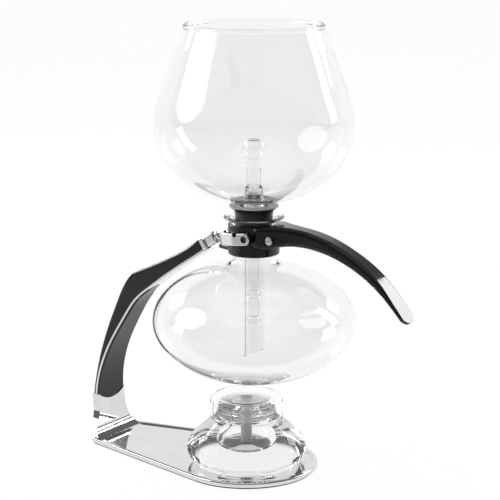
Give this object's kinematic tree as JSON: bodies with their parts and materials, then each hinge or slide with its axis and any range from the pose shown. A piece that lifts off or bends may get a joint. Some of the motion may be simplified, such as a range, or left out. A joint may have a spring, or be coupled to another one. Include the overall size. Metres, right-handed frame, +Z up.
{
  "type": "vacuum coffee brewer",
  "caption": "Glass vacuum coffee brewer: funnel above a clamped decanter, held by a fork on a chromed stand with a black arm grip, and a spirit burner below.",
  "frame": {"origin": "where the brewing axis meets the table under the stand", "axes": "+Z up the brewing axis, +X towards the decanter's handle, the stand's arm is on -X"},
  "size_m": [0.2901, 0.1578, 0.35],
  "materials": {
    "chrome_plate": "polished",
    "steel": "satin",
    "black_plastic": "gloss",
    "black_stud": "satin",
    "pad_rubber": "matte",
    "bung_rubber": "satin",
    "vessel_glass": "polished",
    "filter_glass": "frosted seat",
    "burner_glass": "pressed",
    "wick_metal": "satin",
    "wick_cotton": "woven"
  },
  "bodies": {
    "stand": {"stand_base": "chrome_plate", "base_pad": "pad_rubber", "heel_pins": "steel", "arm_core": "chrome_plate", "grip_outer": "black_plastic", "grip_inner": "black_plastic", "grip_screws": "steel", "arm_ferrule": "chrome_plate", "joint_block": "chrome_plate", "yoke_washer": "chrome_plate", "yoke": "chrome_plate", "yoke_screw": "steel"},
    "studs": {"trunnion_studs": "black_stud"},
    "decanter": {"bowl_base": "vessel_glass", "bowl_shoulder": "vessel_glass", "bowl_neck": "vessel_glass", "collar_liner": "bung_rubber", "collar_half": "black_plastic", "handle": "black_plastic", "clamp_screw": "chrome_plate", "clamp_nut": "steel"},
    "funnel": {"funnel_cone": "vessel_glass", "funnel_bowl": "vessel_glass", "funnel_stem": "vessel_glass", "bung": "bung_rubber"},
    "filter": {"filter_rod": "filter_glass"},
    "burner": {"burner_bottle": "burner_glass"},
    "wick_unit": {"wick_holder": "wick_metal", "wick": "wick_cotton"},
    "cap": {"snuffer_cap": "burner_glass"}
  },
  "joints": [
    {"name": "decanter_release", "type": "slide", "parent": "stand", "child": "studs", "axis": [0.9511, 0, 0.309], "range_m": [0, 0.16]},
    {"name": "decanter_tilt", "type": "hinge", "parent": "studs", "child": "decanter", "pos_m": [0.0065, 0, 0.1889], "axis": [0, -1, 0], "range_deg": [-1, 18]},
    {"name": "funnel_lift", "type": "slide", "parent": "decanter", "child": "funnel", "axis": [0, 0, 1], "range_m": [0, 0.13]},
    {"name": "filter_lift", "type": "slide", "parent": "funnel", "child": "filter", "axis": [0, 0, 1], "range_m": [0, 0.12]},
    {"name": "burner_slide", "type": "slide", "parent": "stand", "child": "burner", "axis": [0, -0.9877, 0.1564], "range_m": [0, 0.2]},
    {"name": "cap_lift", "type": "slide", "parent": "burner", "child": "cap", "axis": [0, 0, 1], "range_m": [0, 0.02]},
    {"name": "wick_lift", "type": "slide", "parent": "burner", "child": "wick_unit", "axis": [0, 0, 1], "range_m": [0, 0.016]}
  ],
  "couplings": [
    {"joint": "cap_lift", "follows": "burner_slide", "ratio": 0.1},
    {"joint": "wick_lift", "follows": "burner_slide", "ratio": 0.08}
  ]
}
